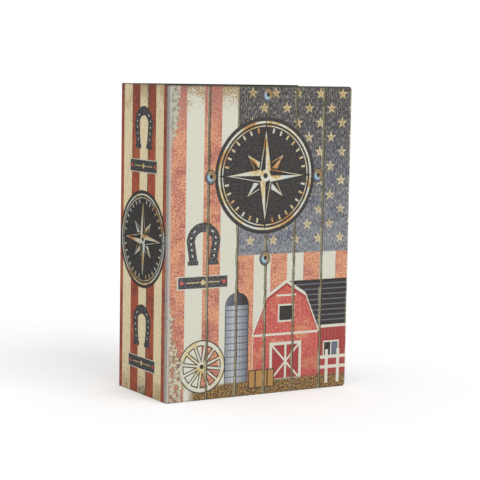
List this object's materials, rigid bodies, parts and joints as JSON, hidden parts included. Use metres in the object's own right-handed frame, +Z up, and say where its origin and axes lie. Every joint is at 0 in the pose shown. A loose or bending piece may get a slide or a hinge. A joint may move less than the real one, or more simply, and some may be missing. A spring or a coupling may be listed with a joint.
{
  "type": "book diversion safe",
  "caption": "Upright dummy book in a printed canvas cover that opens to a flat steel cash box with a hinged lid and a key cam lock.",
  "frame": {"origin": "middle of the closed book's footprint, on the surface it stands on", "axes": "+Z up along the spine, -Y out of the front cover, -X out of the spine, +X towards the fore edge"},
  "size_m": [0.1634, 0.08, 0.24],
  "materials": {
    "canvas_print": "printed canvas, matt, fine weave, worn edges",
    "board": "raw grey-brown bookboard",
    "black_lining": "black lining paper, matt, fine grain",
    "page_strip": "moulded page edges, dark, matt",
    "black_steel": "black powder coat, fine orange peel",
    "felt": "black felt",
    "plated_steel": "bright zinc plate",
    "chromed_lock": "polished nickel"
  },
  "bodies": {
    "book_body": {"back_board": "board", "back_wrap": "canvas_print", "back_lining": "black_lining", "spine_board": "board", "spine_wrap": "canvas_print", "spine_lining": "black_lining", "fore_edge_pages": "page_strip", "head_pages": "page_strip", "tail_pages": "page_strip", "box_body": "black_steel", "floor_pad": "felt", "floor_screw_1": "plated_steel", "floor_screw_2": "plated_steel", "floor_screw_3": "plated_steel", "floor_screw_4": "plated_steel", "hinge_box_leaf": "black_steel", "box_leaf_rivet_1": "plated_steel", "box_leaf_rivet_2": "plated_steel", "box_leaf_rivet_3": "plated_steel", "box_leaf_rivet_4": "plated_steel", "hinge_pin": "plated_steel", "lock_keeper": "black_steel"},
    "front_cover": {"front_board": "board", "front_wrap": "canvas_print", "front_lining": "black_lining"},
    "inner_lid": {"lid_panel": "black_steel", "hinge_lid_leaf": "black_steel", "lid_leaf_rivet_1": "plated_steel", "lid_leaf_rivet_2": "plated_steel", "lid_leaf_rivet_3": "plated_steel", "lid_leaf_rivet_4": "plated_steel", "lock_body": "chromed_lock", "lock_nut": "plated_steel"},
    "lock_core": {"lock_plug": "chromed_lock", "lock_cam": "plated_steel", "cam_screw": "plated_steel"}
  },
  "joints": [
    {"name": "cover_hinge", "type": "hinge", "parent": "book_body", "child": "front_cover", "pos_m": [-0.08175, -0.03575, 0.12], "axis": [0, 0, -1], "range_deg": [0, 175]},
    {"name": "lid_hinge", "type": "hinge", "parent": "book_body", "child": "inner_lid", "pos_m": [-0.0739, -0.0314, 0.12], "axis": [0, 0, -1], "range_deg": [0, 105]},
    {"name": "key_turn", "type": "hinge", "parent": "inner_lid", "child": "lock_core", "pos_m": [0.04395, -0.0346, 0.12], "axis": [0, 1, 0], "range_deg": [0, 90]}
  ],
  "couplings": [
    {"joint": "lid_hinge", "follows": "cover_hinge", "ratio": 0.6}
  ]
}
